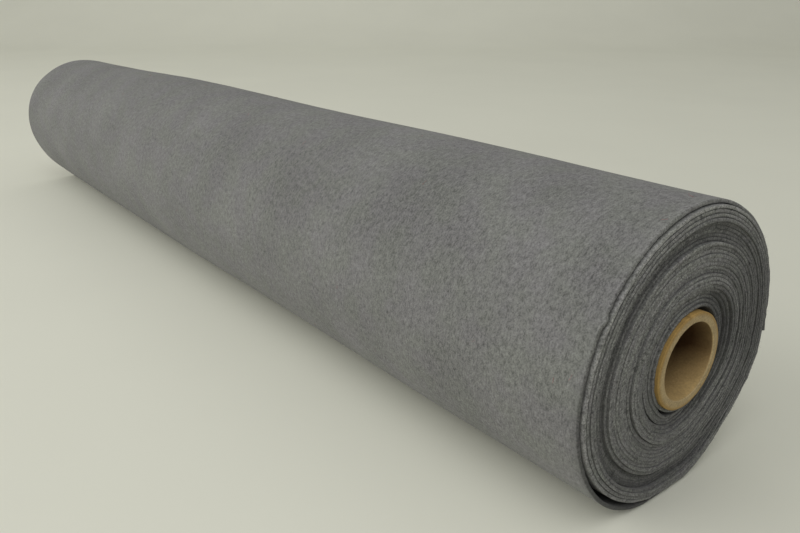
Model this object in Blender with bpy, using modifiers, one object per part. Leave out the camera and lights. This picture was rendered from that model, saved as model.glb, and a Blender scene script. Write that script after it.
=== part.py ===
# Roll of grey felt wound on a cardboard core tube, lying on its side.
#
# Metres, +Z up. The tube's axis lies along X, and +X points to the end whose core stands out.
# The origin is at the middle of the roll's base. Angles about the tube are counted from +Y
# towards +Z, so 90 degrees is the top of the roll and 180 degrees its front.

import bpy
import math
import numpy as np

# Driving dimensions
FELT_WIDTH = 1.000
FELT_THICKNESS = 0.0018
TURNS = 27
TUBE_LENGTH = 1.005
TUBE_OUTER_RADIUS = 0.0285
TUBE_INNER_RADIUS = 0.0228
TUBE_RIM_CHAMFER = 0.0004
TUBE_STANDS_OUT = 0.0034
AXIS_HEIGHT = 0.0845
CLEARANCE = 0.00035

# Where the outermost turn stops, and how wide the step down to the turn below it is
LOOSE_END_ANGLE = -6.0
LOOSE_END_STEP = 0.8

# Facets around the felt and around the tube
ANGLE_STEPS = 72
TUBE_STEPS = 72

MM = 0.001
TURN_DEGREES = 360.0

# Outline of the roll seen from the end: (angle in degrees, radius in mm)
NEAR_OUTLINE = (
    (-6, 88.6), (10, 88.2), (30, 88.0), (50, 87.6), (65, 87.9), (80, 88.9),
    (100, 89.3), (130, 89.3), (160, 89.2), (190, 89.3), (215, 89.6), (234, 89.6),
    (244, 88.8), (254, 87.6), (266, 86.8), (278, 86.6), (288, 85.8), (300, 85.0),
    (316, 84.7), (326, 86.0), (336, 88.0), (345, 88.6), (350, 87.8), (354, 86.8),
)
FAR_OUTLINE = (
    (-6, 86.4), (30, 86.2), (60, 84.0), (80, 82.4), (100, 82.3), (125, 82.9),
    (145, 84.9), (165, 85.8), (185, 85.7), (205, 84.9), (225, 86.0), (240, 87.5),
    (255, 87.3), (270, 86.6), (285, 87.3), (300, 87.5), (320, 86.6), (340, 86.0),
    (354, 84.6),
)

# The far part of the roll has sunk: the outline changes from near to far between these places
SINK_STARTS = -0.12
SINK_ENDS = -0.50

# Slow waves along the roll's side: height, length of one wave, and turns of phase about the roll
WAVE_HEIGHT = 0.0005
WAVE_LENGTH = 0.37
WAVE_LOBES = 2

# How far each turn's edge stands out beyond the outermost turn's edge:
# (turns in from the loose end, offset in mm)
TELESCOPE = (
    (0.0, 0.0), (0.6, 0.0), (0.95, 2.3), (2.0, 2.5), (3.2, 2.2), (5.2, 2.2),
    (6.0, -0.8), (7.5, -1.4), (9.0, -0.8), (9.8, 1.6), (10.8, 0.9), (14.0, 1.3),
    (17.2, 0.7), (18.4, 1.6), (21.4, 1.5), (22.6, 0.1), (25.0, -0.6), (26.6, 0.8),
    (28.0, 0.8),
)

# Open gaps between turns at the near end, from the outermost inward.
# (layers down at the first angle, layers down at the last angle, first angle, last angle,
#  angle where it is widest, greatest width in mm, greatest depth in mm)
NEAR_GAPS = (
    (1.0, 1.0, 60, 262, 238, 3.3, 24.0),
    (4.9, 2.6, 276, 350, 306, 1.8, 12.0),
    (17.6, 17.6, 130, 300, 215, 1.0, 7.0),
    (22.6, 22.6, 120, 292, 200, 1.4, 9.0),
    (25.9, 25.9, -6, 300, 262, 1.6, 10.0),
)
# Slack beside the tube, on the back of the roll
SLACK = (26.6, 26.6, -4, 84, 30, 2.4, 14.0)
# Open gaps at the far end, in the same columns
FAR_GAPS = (
    (1.0, 1.0, 20, 190, 100, 1.6, 14.0),
    (24.4, 24.4, 30, 250, 140, 1.6, 9.0),
)
# A closed gap still leaves a fine line this wide and deep
LINE_WIDTH = 0.35
LINE_DEPTH = 0.5

# Layers down at which the ends change level between the gaps
NEAR_LEVELS = (1.9, 5.4, 6.1, 7.6, 9.1, 9.8, 11.0, 14.5, 19.6, 21.4)
FAR_LEVELS = (3.0, 5.4, 6.2, 9.0, 9.8, 14.0, 19.0)

# Rounding of the outermost turn's cut edge
EDGE_ROUND = FELT_THICKNESS / 3

# Places along the roll where the outer surface has its rings
RINGS = (0.46, 0.39, 0.30, 0.20, 0.10, 0.0, -0.10, -0.17, -0.24, -0.31, -0.38, -0.43, -0.47)

FELT_COLOUR = (0.205, 0.205, 0.198, 1.0)
FELT_ROUGHNESS = 0.95
CARDBOARD_COLOUR = (0.42, 0.27, 0.11, 1.0)
CARDBOARD_ROUGHNESS = 0.8


def clear_scene():
    for item in list(bpy.data.objects):
        bpy.data.objects.remove(item, do_unlink=True)


def material(name, colour, roughness):
    """A plain surface with one colour."""
    made = bpy.data.materials.new(name)
    made.use_nodes = True
    shader = made.node_tree.nodes["Principled BSDF"]
    shader.inputs["Base Color"].default_value = colour
    shader.inputs["Roughness"].default_value = roughness
    shader.inputs["Metallic"].default_value = 0.0
    return made


def smooth_step(t):
    """0 below t = 0, 1 above t = 1, and 3t^2 - 2t^3 between them."""
    t = np.clip(t, 0.0, 1.0)
    return t * t * (3.0 - 2.0 * t)


def curve_through(at, table):
    """A smooth curve through the table's rows: cubic pieces whose slopes come from the neighbours."""
    xs, ys = np.array(table, float).T
    slope = np.gradient(ys, xs)
    i = np.clip(np.searchsorted(xs, at, side="right") - 1, 0, len(xs) - 2)
    step = xs[i + 1] - xs[i]
    t = np.clip((at - xs[i]) / step, 0.0, 1.0)
    starts = ys[i] * (1 + 2 * t) * (1 - t) ** 2 + slope[i] * step * t * (1 - t) ** 2
    ends = ys[i + 1] * t * t * (3 - 2 * t) + slope[i + 1] * step * t * t * (t - 1)
    return starts + ends


def outer_radius(angle, x):
    """Distance from the tube's axis to the roll's surface, flat where it lies on the floor."""
    near = curve_through(angle, NEAR_OUTLINE) * MM
    far = curve_through(angle, FAR_OUTLINE) * MM
    sunk = smooth_step((SINK_STARTS - x) / (SINK_STARTS - SINK_ENDS))
    turn = np.radians(angle)
    wave = WAVE_HEIGHT * np.sin(2 * np.pi * x / WAVE_LENGTH + WAVE_LOBES * turn)
    radius = near + (far - near) * sunk + wave
    down = np.maximum(-np.sin(turn), 1e-6)
    return np.minimum(radius, AXIS_HEIGHT / down)


def edge_offset(layers, angle):
    """How far a turn's edge stands out: the layer below a point drifts one turn in each time round."""
    turns_in = layers + (angle - LOOSE_END_ANGLE) / TURN_DEGREES
    return curve_through(turns_in, TELESCOPE) * MM


def layer_radius(layers, angle, x):
    """Radius of the boundary that many layers below the roll's surface."""
    surface = outer_radius(angle, x)
    bore = TUBE_OUTER_RADIUS + CLEARANCE
    return surface - (surface - bore) * layers / TURNS


def gap_points(row, angle, x):
    """Four points across a gap, from its outer lip to its inner lip: radii and depths."""
    first_layer, last_layer, first, last, widest, width, depth = row
    along = np.clip((angle - first) / (last - first), 0.0, 1.0)
    layers = first_layer + (last_layer - first_layer) * smooth_step(along)
    rise = smooth_step((angle - first) / (widest - first))
    fall = smooth_step((last - angle) / (last - widest))
    opened = rise * fall
    half = 0.5 * (LINE_WIDTH + (width - LINE_WIDTH) * opened) * MM
    down = (LINE_DEPTH + (depth - LINE_DEPTH) * np.sqrt(opened)) * MM
    middle = layer_radius(layers, angle, x)
    radii = [middle + half, middle + 0.8 * half, middle - 0.8 * half, middle - half]
    depths = [np.zeros_like(down), down, down, np.zeros_like(down)]
    level = edge_offset(layers, angle)
    return [(r, d, level) for r, d in zip(radii, depths)]


def end_profile(gaps, levels, angle, x_edge):
    """The end's points from the rim inward, each as arrays (radius, depth, level) over the angles."""
    rows = []
    for row in gaps:
        rows.append((row[0], gap_points(row, angle, x_edge)))
    for layers in levels:
        flat = np.zeros_like(angle)
        level = edge_offset(layers, angle)
        rows.append((layers, [(layer_radius(layers, angle, x_edge), flat, level)]))
    rows.sort(key=lambda item: item[0])
    return [point for layers, points in rows for point in points]


def felt_grid():
    """Points of the wound felt as an array (angle, place in the section, xyz)."""
    first = LOOSE_END_ANGLE + 0.5 * LOOSE_END_STEP
    last = LOOSE_END_ANGLE + TURN_DEGREES - 0.5 * LOOSE_END_STEP
    angle = np.linspace(first, last, ANGLE_STEPS)
    near_edge = TUBE_LENGTH / 2 - TUBE_STANDS_OUT
    far_edge = near_edge - FELT_WIDTH
    bore = np.full_like(angle, TUBE_OUTER_RADIUS + CLEARANCE)
    rim = edge_offset(0.0, angle)
    foot = edge_offset(TURNS, angle)

    section = []
    for x in RINGS:
        section.append((np.full_like(angle, x), outer_radius(angle, x)))

    far_surface = outer_radius(angle, far_edge)
    section.append((far_edge + rim + EDGE_ROUND, far_surface))
    section.append((far_edge + rim, far_surface - EDGE_ROUND))
    for radius, depth, level in end_profile(FAR_GAPS, FAR_LEVELS, angle, far_edge):
        section.append((far_edge + level + depth, radius))
    section.append((far_edge + foot, bore))

    section.append((near_edge + foot, bore))
    near_points = end_profile(NEAR_GAPS + (SLACK,), NEAR_LEVELS, angle, near_edge)
    for radius, depth, level in reversed(near_points):
        section.append((near_edge + level - depth, radius))
    near_surface = outer_radius(angle, near_edge)
    section.append((near_edge + rim, near_surface - EDGE_ROUND))
    section.append((near_edge + rim - EDGE_ROUND, near_surface))

    x = np.stack([item[0] for item in section], axis=1)
    radius = np.stack([item[1] for item in section], axis=1)
    turn = np.radians(angle)[:, None]
    y = radius * np.cos(turn)
    z = radius * np.sin(turn) + AXIS_HEIGHT
    return np.stack([x, y, z], axis=2)


def closed_grid_mesh(name, grid):
    """A mesh on a grid that closes on itself both ways, with its faces pointing out."""
    rows, columns = grid.shape[:2]
    index = np.arange(rows * columns).reshape(rows, columns)
    right = np.roll(index, -1, axis=1)
    up = np.roll(index, -1, axis=0)
    corner = np.roll(right, -1, axis=0)
    faces = np.stack([index, right, corner, up], axis=2).reshape(-1, 4)
    mesh = bpy.data.meshes.new(name)
    mesh.from_pydata(grid.reshape(-1, 3).tolist(), [], faces.tolist())
    mesh.validate()
    return mesh


def add_object(name, mesh, collection, surface):
    mesh.materials.append(surface)
    item = bpy.data.objects.new(name, mesh)
    collection.objects.link(item)
    return item


def make_felt(collection, middle):
    """The wound felt, moved so that the roll's base is centred on the origin."""
    grid = felt_grid()
    grid[:, :, 1] -= middle
    surface = material("grey felt", FELT_COLOUR, FELT_ROUGHNESS)
    mesh = closed_grid_mesh("felt_roll", grid)
    mesh.shade_smooth()
    mesh.set_sharp_from_angle(angle=math.radians(40))
    return add_object("felt_roll", mesh, collection, surface)


def make_tube(collection, middle):
    """The cardboard core: a ring section turned about its axis and laid along X."""
    half = TUBE_LENGTH / 2
    chamfer = TUBE_RIM_CHAMFER
    outer = TUBE_OUTER_RADIUS
    inner = TUBE_INNER_RADIUS
    section = [
        (outer, half - chamfer),
        (outer, chamfer - half),
        (outer - chamfer, -half),
        (inner + chamfer, -half),
        (inner, chamfer - half),
        (inner, half - chamfer),
        (inner + chamfer, half),
        (outer - chamfer, half),
    ]
    mesh = bpy.data.meshes.new("core_tube")
    points = [(radius, 0.0, height) for radius, height in section]
    edges = [(i, (i + 1) % len(section)) for i in range(len(section))]
    mesh.from_pydata(points, edges, [])
    surface = material("brown cardboard", CARDBOARD_COLOUR, CARDBOARD_ROUGHNESS)
    tube = add_object("core_tube", mesh, collection, surface)
    turned = tube.modifiers.new("turned", "SCREW")
    turned.axis = "Z"
    turned.angle = math.tau
    turned.steps = TUBE_STEPS
    turned.render_steps = TUBE_STEPS
    turned.use_merge_vertices = True
    turned.merge_threshold = 0.0001
    turned.use_smooth_shade = False
    tube.rotation_euler = (0.0, math.radians(90), 0.0)
    tube.location = (0.0, -middle, AXIS_HEIGHT)
    return tube


def main():
    clear_scene()
    collection = bpy.data.collections.new("roll of felt")
    bpy.context.scene.collection.children.link(collection)
    across = felt_grid()[:, :, 1]
    middle = 0.5 * float(across.min() + across.max())
    make_felt(collection, middle)
    make_tube(collection, middle)


main()
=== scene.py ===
# %% [markdown]
# # A roll of grey felt on its cardboard core
#
# The roll lies on its side on a pale floor. It is one cloth, a metre wide and about ten metres
# long, wound twenty-seven times round a brown cardboard tube.
#
# The drawing office has already fixed its size and its outline as solids. Here the same roll is
# made again as the cloth that it really is: one long strip, with the small gaps between its
# turns, its cut edges that never line up, and the loose fibres that make felt look soft.
#
# Everything is in metres with +Z up. The tube lies along X, and +X points to the end that the
# picture shows. Angles about the tube are counted from +Y towards +Z, so 90 degrees is the top.

import math

import bpy
import numpy as np
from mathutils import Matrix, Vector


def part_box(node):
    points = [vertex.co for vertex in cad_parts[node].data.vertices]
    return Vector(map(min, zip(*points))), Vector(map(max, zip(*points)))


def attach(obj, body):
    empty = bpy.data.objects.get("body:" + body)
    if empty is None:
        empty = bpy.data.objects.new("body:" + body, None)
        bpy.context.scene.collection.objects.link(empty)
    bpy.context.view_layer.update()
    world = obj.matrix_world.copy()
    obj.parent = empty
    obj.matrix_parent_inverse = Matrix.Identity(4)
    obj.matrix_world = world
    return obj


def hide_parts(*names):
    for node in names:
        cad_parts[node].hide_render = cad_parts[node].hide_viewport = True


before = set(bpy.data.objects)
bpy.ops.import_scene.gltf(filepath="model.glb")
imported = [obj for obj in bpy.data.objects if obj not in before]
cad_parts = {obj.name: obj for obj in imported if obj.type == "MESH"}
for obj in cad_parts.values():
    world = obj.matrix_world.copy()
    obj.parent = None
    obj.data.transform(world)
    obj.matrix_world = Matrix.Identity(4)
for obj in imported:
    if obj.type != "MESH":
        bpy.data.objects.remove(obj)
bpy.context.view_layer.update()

# %% [markdown]
# ## The main dimensions
#
# These are the same values as on the drawing. The tube's own box tells where the axis lies, as
# the roll is a little wider on one side of it than on the other.

# %% Main dimensions
MM = 0.001
TURN_DEGREES = 360.0

FELT_WIDTH = 1.000
FELT_THICKNESS = 0.0018
TURNS = 27
LOOSE_END_ANGLE = -6.0

TUBE_OUTER_RADIUS = 0.0285
TUBE_INNER_RADIUS = 0.0228
TUBE_STANDS_OUT = 0.0034

tube_low, tube_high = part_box("core_tube")
tube_y = 0.5 * (tube_low[1] + tube_high[1])
AXIS_HEIGHT = 0.5 * (tube_low[2] + tube_high[2])
tube_half = 0.5 * (tube_high[0] - tube_low[0])
near_edge = tube_half - TUBE_STANDS_OUT
far_edge = near_edge - FELT_WIDTH

print("axis height in mm", round(AXIS_HEIGHT / MM, 2), "axis y in mm", round(tube_y / MM, 2))
print("felt from", round(far_edge, 4), "to", round(near_edge, 4))

# %% [markdown]
# ## Smooth curves and soft noise
#
# Three small helpers are used all the way through. The first eases from 0 to 1. The second
# draws a smooth curve through a few measured places. The third gives unevenness that looks
# natural but is the same every time, because its numbers come from a seed.

# %% Smooth curves and soft noise
def smooth_step(t):
    """0 below t = 0, 1 above t = 1, and 3t^2 - 2t^3 between them."""
    t = np.clip(t, 0.0, 1.0)
    return t * t * (3.0 - 2.0 * t)


def curve_through(at, table):
    """A smooth curve through the table's rows: cubic pieces whose slopes come from the neighbours."""
    xs, ys = np.array(table, float).T
    slope = np.gradient(ys, xs)
    i = np.clip(np.searchsorted(xs, at, side="right") - 1, 0, len(xs) - 2)
    step = xs[i + 1] - xs[i]
    t = np.clip((at - xs[i]) / step, 0.0, 1.0)
    starts = ys[i] * (1 + 2 * t) * (1 - t) ** 2 + slope[i] * step * t * (1 - t) ** 2
    ends = ys[i + 1] * t * t * (3 - 2 * t) + slope[i + 1] * step * t * t * (t - 1)
    return starts + ends


def soft_noise(at, seed):
    """Smooth unevenness between -1 and 1 that changes about once for every 1 in at."""
    levels = np.random.default_rng(seed).uniform(-1.0, 1.0, 4096)
    cell = np.floor(at).astype(int)
    share = smooth_step(at - cell)
    return levels[cell % 4096] * (1.0 - share) + levels[(cell + 1) % 4096] * share


def soft_noise_2d(across, along, seed):
    """Smooth unevenness between -1 and 1 over a plane, with one random level at each whole place."""
    levels = np.random.default_rng(seed).uniform(-1.0, 1.0, (256, 256))
    i = np.floor(across).astype(int)
    j = np.floor(along).astype(int)
    u = smooth_step(across - i)
    v = smooth_step(along - j)
    low = levels[i % 256, j % 256] * (1 - u) + levels[(i + 1) % 256, j % 256] * u
    high = levels[i % 256, (j + 1) % 256] * (1 - u) + levels[(i + 1) % 256, (j + 1) % 256] * u
    return low * (1 - v) + high * v


# %% [markdown]
# ## The outline of the roll
#
# A soft roll is never a true cylinder. It is flat where it lies on the floor, it bulges a little
# at the loose end, and the far half of the top has sunk under its own weight. The outline is
# measured at both ends and passes smoothly from one to the other.

# %% Outline
NEAR_OUTLINE = (
    (-6, 88.6), (10, 88.2), (30, 88.0), (50, 87.6), (65, 87.9), (80, 88.9),
    (100, 89.3), (130, 89.3), (160, 89.2), (190, 89.3), (215, 89.6), (234, 89.6),
    (244, 88.8), (254, 87.6), (266, 86.8), (278, 86.6), (288, 85.8), (300, 85.0),
    (316, 84.7), (326, 86.0), (336, 88.0), (345, 88.6), (350, 87.8), (354, 86.8),
)
FAR_OUTLINE = (
    (-6, 86.4), (30, 86.2), (60, 84.0), (80, 82.4), (100, 82.3), (125, 82.9),
    (145, 84.9), (165, 85.8), (185, 85.7), (205, 84.9), (225, 86.0), (240, 87.5),
    (255, 87.3), (270, 86.6), (285, 87.3), (300, 87.5), (320, 86.6), (340, 86.0),
    (354, 84.6),
)
SINK_STARTS = -0.12
SINK_ENDS = -0.50
WAVE_HEIGHT = 0.0005
WAVE_LENGTH = 0.37
WAVE_LOBES = 2


def flatten(radius, angle):
    """The radius, cut back where the roll would go below the floor."""
    down = np.maximum(-np.sin(np.radians(angle)), 1e-6)
    return np.minimum(radius, AXIS_HEIGHT / down)


def outer_radius(angle, x):
    """Distance from the tube's axis to the roll's surface, flat where it lies on the floor."""
    near = curve_through(angle, NEAR_OUTLINE) * MM
    far = curve_through(angle, FAR_OUTLINE) * MM
    sunk = smooth_step((SINK_STARTS - x) / (SINK_STARTS - SINK_ENDS))
    wave = WAVE_HEIGHT * np.sin(2 * np.pi * x / WAVE_LENGTH + WAVE_LOBES * np.radians(angle))
    return flatten(near + (far - near) * sunk + wave, angle)


# %% [markdown]
# ## Winding the cloth
#
# The strip is followed from its loose end inward. A place on it is given by the number of turns
# in from that end, and every turn is cut into the same number of stations, so that station 40 of
# one turn lies straight under station 40 of the turn above it.
#
# At one place along the roll the room between the outline and the tube is known, and so is the
# felt's thickness. What is left over is air. Most of it is shared out as thin gaps between the
# turns, a little uneven, and the rest goes where a wide gap shows at the end of the real roll:
# under the outermost turn at the lower left, beside the tube, and in the ripple at the lower
# right. Near the end of its first turn the cloth steps down under its own loose end, and at the
# tube it starts with a thin wedge of air.

# %% Winding
STATIONS = 160
BASE_GAP = 0.22
TIGHT = 0.0001
OPEN_DEPTH = 0.070
STEP_STARTS = 330.0
STEP_SPREAD = 24.0
WEDGE_TURNS = 0.3

# Wide gaps on the inner side of a turn: turn, angle of the middle, half spread, width in mm
NEAR_OPEN = (
    (0, 150, 110, 0.5), (0, 234, 42, 3.1), (1, 160, 90, 0.50), (2, 160, 80, 0.45),
    (3, 165, 70, 0.3), (17, 215, 80, 0.6), (16, 190, 50, 0.4), (22, 200, 80, 1.2),
    (25, 253, 36, 2.2), (26, 35, 75, 2.4), (25, 15, 70, 0.9), (24, 20, 70, 0.9),
    (23, 20, 60, 0.8), (22, 20, 60, 0.6), (4, 290, 20, 1.2), (3, 303, 16, 1.2),
    (2, 313, 14, 1.2), (1, 330, 18, 1.0), (9, 296, 20, 0.9), (7, 306, 20, 1.0),
    (12, 314, 24, 0.7),
)
FAR_OPEN = (
    (0, 100, 80, 1.4), (24, 140, 100, 1.2), (12, 40, 60, 0.6), (17, 300, 60, 0.6),
    (8, 200, 60, 0.5),
)

turn_index = np.arange(TURNS)[:, None]
share_of_turn = np.arange(STATIONS + 1)[None, :] / STATIONS
turns_in = turn_index + share_of_turn
angle_of_station = LOOSE_END_ANGLE + TURN_DEGREES * share_of_turn[0]


def open_gaps(rows):
    """Width of the wide gaps under every station: a cosine hump squared for each row."""
    total = np.zeros_like(turns_in)
    for turn, centre, half_spread, width in rows:
        middle = turn + (centre - LOOSE_END_ANGLE) / TURN_DEGREES
        away = np.abs(turns_in - middle) * TURN_DEGREES / half_spread
        total += width * MM * np.cos(0.5 * np.pi * np.clip(away, 0.0, 1.0)) ** 2
    return total


near_open = open_gaps(NEAR_OPEN)
far_open = open_gaps(FAR_OPEN)
uneven = soft_noise(turns_in * 7.0, 11) + 0.6 * soft_noise(turns_in * 19.0, 12)
thin_gap = BASE_GAP * MM * np.maximum(1.0 + 0.6 * uneven, 0.25)


def wind(x):
    """Outer and inner radius of every turn at one place along the roll, as arrays (turn, station).

    The gaps are the wide ones plus the thin ones times one factor per station, and the factor is
    what makes the turns just fill the room between the outline and the tube.
    """
    near = smooth_step(1.0 - (near_edge - x) / OPEN_DEPTH)
    far = smooth_step(1.0 - (x - far_edge) / OPEN_DEPTH)
    wide = near * near_open + far * far_open
    angle = angle_of_station
    outline = outer_radius(angle, x)
    bore = TUBE_OUTER_RADIUS + TIGHT

    room = outline[0] - bore - (TURNS + 1) * FELT_THICKNESS
    factor_at_end = (room - wide[:, 0].sum()) / thin_gap[:, 0].sum()
    first_gap = wide[0, 0] + factor_at_end * thin_gap[0, 0]
    step_down = outline[0] - FELT_THICKNESS - first_gap
    step = smooth_step((angle - STEP_STARTS) / STEP_SPREAD)
    outline = outline + (step_down - outline[-1]) * step

    ease = 1.0 - smooth_step(share_of_turn[0] / WEDGE_TURNS)
    wedge = (FELT_THICKNESS + factor_at_end * thin_gap[-1, 0]) * ease + wide[-1]
    room = outline - bore - wedge - TURNS * FELT_THICKNESS
    factor = (room - wide[:-1].sum(axis=0)) / thin_gap[:-1].sum(axis=0)
    gap = wide + factor * thin_gap

    above = np.zeros_like(gap)
    above[1:] = np.cumsum(FELT_THICKNESS + gap[:-1], axis=0)
    outer = outline[None, :] - above
    return outer, outer - FELT_THICKNESS, gap, factor.min()


def along_strip(turns):
    """The (turn, station) array as one row of stations from the loose end to the tube."""
    return np.append(turns[:, :-1].ravel(), turns[-1, -1])


strip_turns = along_strip(turns_in)
strip_angle = LOOSE_END_ANGLE + TURN_DEGREES * strip_turns
strip_turn = np.radians(strip_angle)
station_count = len(strip_turns)

middle_radius = along_strip(0.5 * sum(wind(0.0)[:2]))
steps = 0.5 * (middle_radius[1:] + middle_radius[:-1]) * np.diff(strip_turn)
strip_length = np.concatenate([[0.0], np.cumsum(steps)])

print("stations", station_count, "strip length in m", round(float(strip_length[-1]), 3))
for x in (far_edge, -0.3, 0.0, near_edge):
    print("thin gaps at", round(x, 3), "scaled by at least", round(float(wind(x)[3]), 2))

# %% [markdown]
# ## The cut edges
#
# When a roll is wound by machine the cloth wanders, so some turns stand out at the end and some
# lie back. The loose end starts at zero; the next turns stand up to two millimetres proud, a band
# further in lies back, and so on to the tube. On the side that is turned away from the picture
# the edges lie more level, so there a second table takes over. The same wander shows at the far
# end, as the strip has the same width all along. On top of it each cut edge has its own fine
# unevenness, and a small tab of felt was left standing on the outermost turn when it was cut.

# %% Cut edges
# How far the edge stands out: turns in from the loose end, millimetres
TELESCOPE = (
    (0.0, 0.0), (0.6, 0.2), (0.95, 1.4), (2.0, 1.7), (3.2, 1.9), (4.5, 2.0),
    (5.3, 0.0), (7.2, -0.9), (9.2, -0.4), (10.2, 1.6), (11.2, 0.9), (14.0, 1.3),
    (17.2, 0.7), (18.4, 1.6), (21.4, 1.5), (22.6, 0.1), (25.0, -0.6), (26.6, 0.8),
    (28.0, 0.8),
)
LEVEL_SIDE = (
    (0.0, 0.0), (0.95, 0.8), (4.5, 1.2), (7.2, 0.7), (10.2, 1.3), (18.4, 1.3), (21.4, 1.2),
    (22.6, -0.9), (25.0, -1.4), (26.6, -0.6), (28.0, 0.4),
)
TAB_ANGLE = 149.6
TAB_HALF_SPREAD = 1.6
TAB_HEIGHT = 2.0
# Heights in millimetres and lengths in metres of an edge's raggedness
FINE_HEIGHT, FINE_LENGTH = 0.16, 0.006
FINER_HEIGHT, FINER_LENGTH = 0.10, 0.0022

# 0 on the side that faces the picture, and up to 1 on the side turned away from it
back = np.maximum(np.cos(strip_turn), 0.0)


def edge_roughness(seed):
    """Unevenness of one cut edge in metres: a slow wander and a fine raggedness."""
    slow = (0.26 + 0.24 * back) * soft_noise(strip_turns * 3.3, seed)
    fine = FINE_HEIGHT * soft_noise(strip_length / FINE_LENGTH, seed + 1)
    finer = FINER_HEIGHT * soft_noise(strip_length / FINER_LENGTH, seed + 2)
    return (slow + fine + finer) * MM


wander = curve_through(strip_turns, TELESCOPE)
level = curve_through(strip_turns, LEVEL_SIDE)
wander = (wander + (level - wander) * smooth_step(back / 0.8)) * MM
tab_away = np.abs(strip_angle - TAB_ANGLE) / TAB_HALF_SPREAD
tab = TAB_HEIGHT * MM * np.clip(1.0 - tab_away, 0.0, 1.0)
x_near = near_edge + wander + edge_roughness(21) + tab
x_far = far_edge + wander + edge_roughness(31)

print("near edges from", np.round(x_near.min() - near_edge, 4), "to",
      np.round(x_near.max() - near_edge, 4))

# %% [markdown]
# ## The strip as one mesh
#
# A section through the strip is a flat loop: along its outer side, round the near cut edge, back
# along its inner side and round the far one. The outermost turn shows, so its sections have many
# points. The turns below it hide all but their edges, so a few points are enough for them.
#
# The last centimetre and a half of the loose end lifts a little off the roll, and its near corner
# curls up further, which shows as a small nub on the right of the end.

# %% Sections of the strip
DENSE_TURNS = 1.15
CUT_BEVEL = 0.07 * MM
CUT_SHOULDER = 0.18 * MM
CUT_BULGE = 0.05 * MM
WORN_BEVEL = 0.35 * MM
WORN_SHOULDER = 0.50 * MM
# How far the thin gaps close at the cut edge: turns in from the loose end, share
CLOSED = (
    (0.0, 0.0), (1.0, 0.15), (2.0, 0.35), (4.4, 0.45), (5.2, 0.7), (9.0, 0.85), (10.0, 0.97),
    (16.5, 0.97), (17.2, 0.7), (18.2, 0.7), (19.0, 0.97), (22.0, 0.95), (23.0, 0.6),
    (25.0, 0.75), (27.0, 0.6),
)

sparse_x = np.array([far_edge + 0.025, -0.36, -0.20, near_edge - 0.025])
near_x = near_edge - np.array([0.016, 0.009, 0.005])
far_x = far_edge + np.array([0.006, 0.014])
between_x = np.linspace(far_edge + 0.025, near_edge - 0.025, 40)[1:-1]
dense_x = np.unique(np.concatenate([sparse_x, near_x, far_x, between_x]))
close = np.abs(dense_x[:, None] - sparse_x[None, :]).min(axis=1)
dense_x = dense_x[(close < 1e-9) | (close > 0.004)]
is_sparse = np.isin(dense_x, sparse_x)

anchor_x = np.concatenate([[far_edge], sparse_x, [near_edge]])
anchors = [wind(x) for x in anchor_x]
outer_at_anchor = np.stack([along_strip(a[0]) for a in anchors], axis=1)
inner_at_anchor = np.stack([along_strip(a[1]) for a in anchors], axis=1)

side_x = np.concatenate([[far_edge], dense_x, [near_edge]])
cell = np.clip(np.searchsorted(anchor_x, side_x, side="right") - 1, 0, len(anchor_x) - 2)
mix = (side_x - anchor_x[cell]) / (anchor_x[cell + 1] - anchor_x[cell])
side_outer = outer_at_anchor[:, cell] * (1 - mix) + outer_at_anchor[:, cell + 1] * mix
side_inner = inner_at_anchor[:, cell] * (1 - mix) + inner_at_anchor[:, cell + 1] * mix

first_turn = np.stack([wind(x)[0][0] for x in side_x], axis=1)
shown = 1.0 - smooth_step((strip_turns - 1.0) / 0.03)
count = STATIONS + 1
blend = shown[:count, None]
side_outer[:count] = first_turn * blend + side_outer[:count] * (1.0 - blend)


def swelling(gap, seed):
    """How much thicker the felt is at its cut edge: it fills the thin gaps and leaves the wide ones."""
    under = along_strip(gap)
    thin = 1.0 - smooth_step((under / MM - 0.75) / 0.5)
    loosely = 0.88 + 0.12 * soft_noise(strip_turns * 2.7, seed)
    loosely = loosely * (1.0 - 0.30 * back)
    tight = np.minimum(curve_through(strip_turns, CLOSED) * loosely + 0.05, 0.97)
    tight[-STATIONS:] = 0.0
    return under * thin * tight


side_inner[:, -1] -= swelling(anchors[-1][2], 43)
side_inner[:, 0] -= swelling(anchors[0][2], 44)

# %% Unevenness and loose end of the outermost turn
LIFT_LENGTH = 0.015
LIFT_HEIGHT = 0.0006
CORNER_DEPTH = 0.018
CORNER_HEIGHT = 0.0012
SWELL_HEIGHT = 0.30 * MM
RIPPLE_HEIGHT = 0.10 * MM

swell = soft_noise_2d(strip_length[:, None] / 0.055, side_x[None, :] / 0.085, 41)
ripple = soft_noise_2d(strip_length[:, None] / 0.021, side_x[None, :] / 0.034, 42)
fade = 1.0 - smooth_step((strip_turns - 0.88) / 0.1)
raised = (SWELL_HEIGHT * (swell + 1.0) + RIPPLE_HEIGHT * (ripple + 1.0)) * fade[:, None]
from_end = 1.0 - np.clip(strip_length / LIFT_LENGTH, 0.0, 1.0)
from_near = 1.0 - np.clip((near_edge - side_x) / CORNER_DEPTH, 0.0, 1.0)
lifted = LIFT_HEIGHT * from_end[:, None] ** 2
lifted = lifted + CORNER_HEIGHT * from_end[:, None] ** 1.5 * from_near[None, :] ** 1.3
side_outer = flatten(side_outer + raised + lifted, strip_angle[:, None])
side_inner = side_inner + lifted

# %% Loop of points round every section
CUT_ROUGHNESS = 0.13 * MM

rough = np.random.default_rng(51).uniform(-1.0, 1.0, (station_count, 6)) * CUT_ROUGHNESS
outer_near = side_outer[:, -1]
inner_near = side_inner[:, -1]
outer_far = side_outer[:, 0]
inner_far = side_inner[:, 0]

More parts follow.
